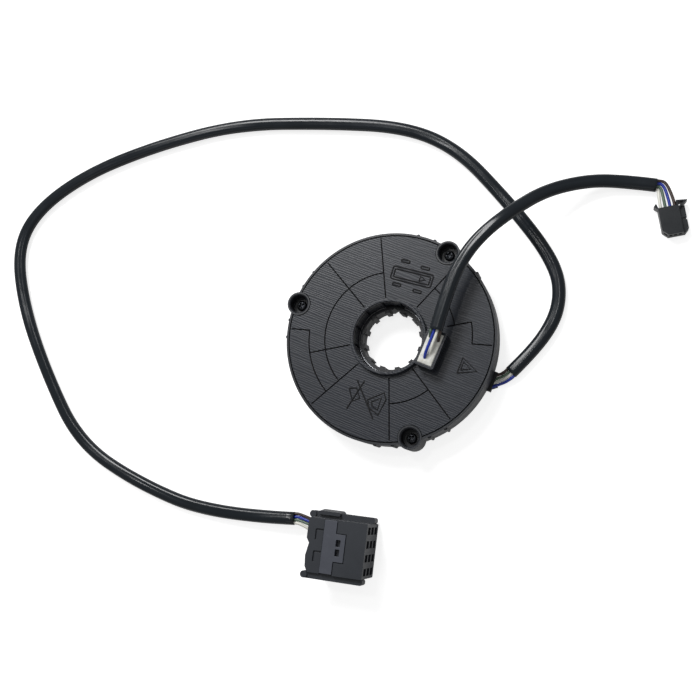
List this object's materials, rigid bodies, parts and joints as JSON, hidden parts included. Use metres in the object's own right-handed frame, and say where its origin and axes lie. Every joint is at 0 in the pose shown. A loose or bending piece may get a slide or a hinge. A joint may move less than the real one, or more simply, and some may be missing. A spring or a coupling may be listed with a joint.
{
  "type": "steering clock spring",
  "caption": "Flat round coiled-cable contact unit for a steering column, with a ribbed hub bore, a turning face disc and two sleeved cords that end in plugs.",
  "frame": {"origin": "on the axis of the hub bore, in the plane of the flat underside", "axes": "+Z along the bore axis towards the steering wheel; +X and +Y lie in the plane of the underside"},
  "size_m": [0.3447, 0.2327, 0.0289],
  "materials": {
    "cover_plastic": "fine moulded texture",
    "case_plastic": "smooth",
    "base_plastic": "smooth",
    "slip_film": "smooth",
    "flat_cable": "smooth",
    "screw_steel": "blackened",
    "clip_steel": "smooth",
    "potting": "cast",
    "block_plastic": "smooth",
    "terminal_brass": "smooth",
    "sleeve_pvc": "smooth",
    "wire_brown": "smooth",
    "wire_blue": "smooth",
    "wire_white": "smooth",
    "wire_green": "smooth",
    "plug12_plastic": "fine moulded texture",
    "plug12_lock_plastic": "fine moulded texture",
    "plug4_plastic": "smooth"
  },
  "bodies": {
    "stator": {"base_plate": "base_plastic", "outlet_cover": "base_plastic", "stator_terminal_block": "block_plastic", "stator_terminals": "terminal_brass", "lower_slip_film": "slip_film", "retaining_ring": "clip_steel", "long_cord_sleeve": "sleeve_pvc", "long_cord_wire_brown": "wire_brown", "long_cord_wire_blue": "wire_blue", "long_cord_wire_white": "wire_white", "long_cord_wire_green": "wire_green", "plug12_housing": "plug12_plastic", "plug12_rear_cover": "plug12_plastic", "plug12_lock": "plug12_lock_plastic", "plug12_terminals": "terminal_brass"},
    "rotor": {"top_cover": "cover_plastic", "case_ring": "case_plastic", "case_screws": "screw_steel", "chimney_potting": "potting", "rotor_terminal_block": "block_plastic", "rotor_terminals": "terminal_brass", "upper_slip_film": "slip_film", "coiled_cable": "flat_cable", "short_cord_sleeve": "sleeve_pvc", "short_cord_wire_brown": "wire_brown", "short_cord_wire_blue": "wire_blue", "short_cord_wire_white": "wire_white", "short_cord_wire_green": "wire_green", "small_plug_housing": "plug4_plastic", "small_plug_terminals": "terminal_brass"}
  },
  "joints": [
    {"name": "rotor_spin", "type": "hinge", "parent": "stator", "child": "rotor", "pos_m": [0, 0, 0.005], "axis": [0, 0, 1], "range_deg": [-1080, 1080], "deforming": ["coiled_cable", "short_cord_sleeve", "short_cord_wire_brown", "short_cord_wire_blue", "short_cord_wire_white", "short_cord_wire_green"]}
  ]
}
